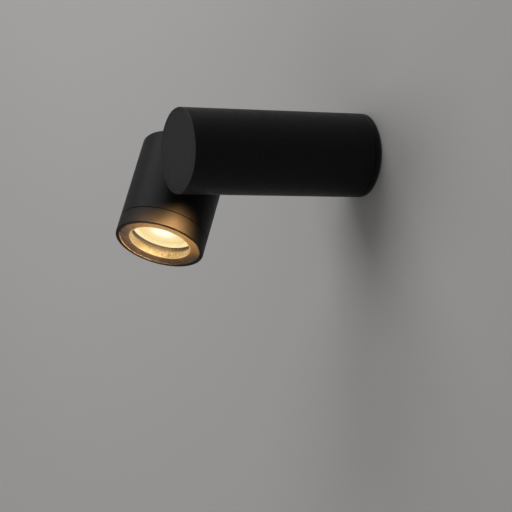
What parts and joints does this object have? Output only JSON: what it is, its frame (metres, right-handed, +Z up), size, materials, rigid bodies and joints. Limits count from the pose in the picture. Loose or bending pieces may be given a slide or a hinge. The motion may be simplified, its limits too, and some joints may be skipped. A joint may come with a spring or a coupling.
{
  "type": "outdoor wall lamp",
  "caption": "Matte black outdoor wall spot: a round arm stands out of the wall and carries a round spot head that tilts on a side pivot, behind a flush glazed screw-off ring.",
  "frame": {"origin": "middle of the gasket face that lies on the wall", "axes": "+Y into the wall along the arm, +Z up, +X along the pivot away from the head"},
  "size_m": [0.1385, 0.1802, 0.1027],
  "materials": {
    "coated_aluminium": "matte",
    "plain_aluminium": "satin",
    "stainless_steel": "satin",
    "brass": "satin",
    "black_rubber": "matte",
    "clear_silicone": "satin",
    "front_glass": "gloss",
    "lit_lens": "satin",
    "white_plastic": "satin",
    "ceramic": "satin",
    "nylon": "satin",
    "cable_sheath": "satin",
    "earth_insulation": "satin"
  },
  "bodies": {
    "wall_base": {"wall_gasket": "black_rubber", "wall_plate": "coated_aluminium", "hub_seal": "black_rubber", "cable_grommet": "black_rubber", "terminal_bracket": "stainless_steel", "terminal_block": "nylon", "terminal_cages": "brass", "clamp_screws": "brass", "terminal_screws": "stainless_steel", "earth_post": "brass", "earth_lead": "earth_insulation", "base_leads": "cable_sheath"},
    "arm": {"arm_tube": "coated_aluminium", "arm_end_cap": "coated_aluminium", "arm_cap_seal": "black_rubber", "swivel_screw": "stainless_steel", "arm_cable": "cable_sheath", "arm_collar": "coated_aluminium", "stop_pin": "stainless_steel", "spindle_seal": "black_rubber", "arm_pad": "plain_aluminium"},
    "head": {"head_collar": "coated_aluminium", "head_pad": "plain_aluminium", "friction_washer": "nylon", "pivot_spindle": "brass", "pivot_washer": "stainless_steel", "disc_spring": "stainless_steel", "pivot_nut": "brass", "head_shell": "coated_aluminium", "head_end_cap": "coated_aluminium", "head_cap_seal": "black_rubber", "holder_strap": "stainless_steel", "strap_screws": "stainless_steel", "lampholder": "ceramic", "holder_contacts": "brass", "holder_screws": "stainless_steel", "holder_leads": "cable_sheath"},
    "bulb": {"bulb_body": "white_plastic", "bulb_base": "white_plastic", "bulb_lens": "lit_lens", "bulb_pins": "brass"},
    "glass_pack": {"front_glass": "front_glass", "glass_gasket": "clear_silicone"},
    "screw_ring": {"front_ring": "coated_aluminium", "ring_seal": "black_rubber"}
  },
  "joints": [
    {"name": "arm_swivel", "type": "hinge", "parent": "wall_base", "child": "arm", "pos_m": [0, 0, 0], "axis": [0, 1, 0], "range_deg": [-170, 170]},
    {"name": "head_tilt", "type": "hinge", "parent": "arm", "child": "head", "pos_m": [-0.0345, -0.127, 0], "axis": [1, 0, 0], "range_deg": [-141.3, 188.7]},
    {"name": "bulb_twist", "type": "hinge", "parent": "head", "child": "bulb", "pos_m": [-0.07125, -0.1485, -0.04899], "axis": [0, -0.4019, -0.9157], "range_deg": [0, 30]},
    {"name": "glass_travel", "type": "slide", "parent": "head", "child": "glass_pack", "axis": [0, -0.4019, -0.9157], "range_m": [0, 0.0075]},
    {"name": "ring_unscrew", "type": "hinge", "parent": "glass_pack", "child": "screw_ring", "pos_m": [-0.07125, -0.1485, -0.04899], "axis": [0, -0.4019, -0.9157], "range_deg": [0, 1800]}
  ],
  "couplings": [
    {"joint": "glass_travel", "follows": "ring_unscrew", "m_per_rad": 0.00023873}
  ]
}
